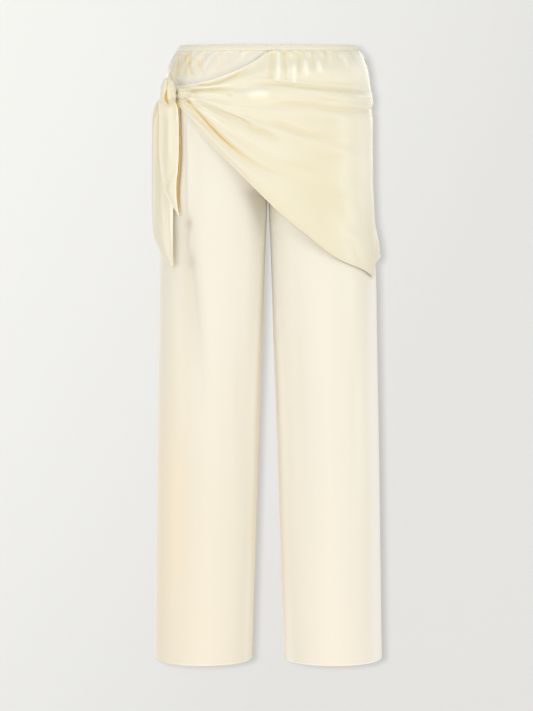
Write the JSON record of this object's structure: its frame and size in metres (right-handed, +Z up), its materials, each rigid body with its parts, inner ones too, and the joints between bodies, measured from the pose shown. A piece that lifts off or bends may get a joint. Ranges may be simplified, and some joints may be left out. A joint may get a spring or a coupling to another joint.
{
  "type": "wide-leg trousers with a hip wrap",
  "caption": "Wide-leg satin trousers with a narrow elastic waist and a sarong-like wrap drawn across the front to a half-bow on the right hip.",
  "frame": {"origin": "middle of the waist opening, level with the waistband's upper edge, where the wearer holds the trousers up", "axes": "+Z up along the legs, -Y the trousers' front, +X the wearer's left"},
  "size_m": [0.4069, 0.2575, 1.086],
  "materials": {
    "trouser_satin": "soft satin, pale butter yellow",
    "wrap_satin": "soft satin, pale butter yellow",
    "waist_elastic": "ribbed elastic with a picot edge, pale butter yellow"
  },
  "bodies": {
    "root": {"right_leg_front": "trouser_satin", "right_leg_back": "trouser_satin", "left_leg_front": "trouser_satin", "left_leg_back": "trouser_satin", "waistband": "waist_elastic", "wrap_front": "wrap_satin", "wrap_back": "wrap_satin", "knot": "wrap_satin", "tie_loop": "wrap_satin", "tie_tail_front": "wrap_satin", "tie_tail_back": "wrap_satin"}
  },
  "joints": []
}
